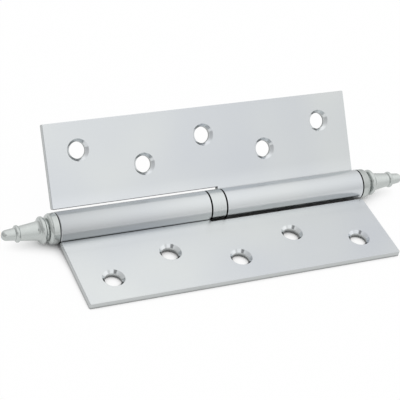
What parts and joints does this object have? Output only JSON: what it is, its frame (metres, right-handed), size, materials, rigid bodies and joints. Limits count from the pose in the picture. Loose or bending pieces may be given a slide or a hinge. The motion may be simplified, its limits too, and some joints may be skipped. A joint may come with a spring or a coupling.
{
  "type": "lift-off butt hinge",
  "caption": "Lift-off butt hinge: flat countersunk leaves rolled into long knuckles on a pin, with a ball thrust bearing between them and a turned finial at each end.",
  "frame": {"origin": "on the back face of the frame leaf, half way along it and half way from the pin to its free edge", "axes": "+X along the pin towards the door leaf's knuckle, +Y from the frame leaf's free edge to the pin, +Z out of the frame leaf's front face"},
  "size_m": [0.1996, 0.0783, 0.0394],
  "materials": {
    "leaf_steel": "satin chromium plate over steel sheet",
    "finial_zinc": "matt chromium plate over a turned blank",
    "pin_steel": "drawn and zinc plated",
    "bearing_steel": "ground and polished",
    "cage_brass": "stamped sheet"
  },
  "bodies": {
    "frame": {"frame_leaf": "leaf_steel", "hinge_pin": "pin_steel", "frame_finial": "finial_zinc", "bearing_case": "leaf_steel", "fixed_race": "bearing_steel"},
    "turning_race": {"turning_race": "bearing_steel"},
    "door": {"door_leaf": "leaf_steel", "door_finial": "finial_zinc"},
    "ball_set": {"ball_cage": "cage_brass", "ball_1": "bearing_steel", "ball_2": "bearing_steel", "ball_3": "bearing_steel", "ball_4": "bearing_steel", "ball_5": "bearing_steel", "ball_6": "bearing_steel", "ball_7": "bearing_steel", "ball_8": "bearing_steel", "ball_9": "bearing_steel", "ball_10": "bearing_steel", "ball_11": "bearing_steel", "ball_12": "bearing_steel"}
  },
  "joints": [
    {"name": "leaf_swing", "type": "hinge", "parent": "frame", "child": "turning_race", "pos_m": [0, 0.0225, 0.00525], "axis": [-1, 0, 0], "range_deg": [-131, 139]},
    {"name": "lift_off", "type": "slide", "parent": "turning_race", "child": "door", "axis": [1, 0, 0], "range_m": [0, 0.056]},
    {"name": "ball_roll", "type": "hinge", "parent": "frame", "child": "ball_set", "pos_m": [0, 0.0225, 0.00525], "axis": [-1, 0, 0], "range_deg": [-65.5, 69.5]}
  ],
  "couplings": [
    {"joint": "ball_roll", "follows": "leaf_swing", "ratio": 0.5}
  ]
}
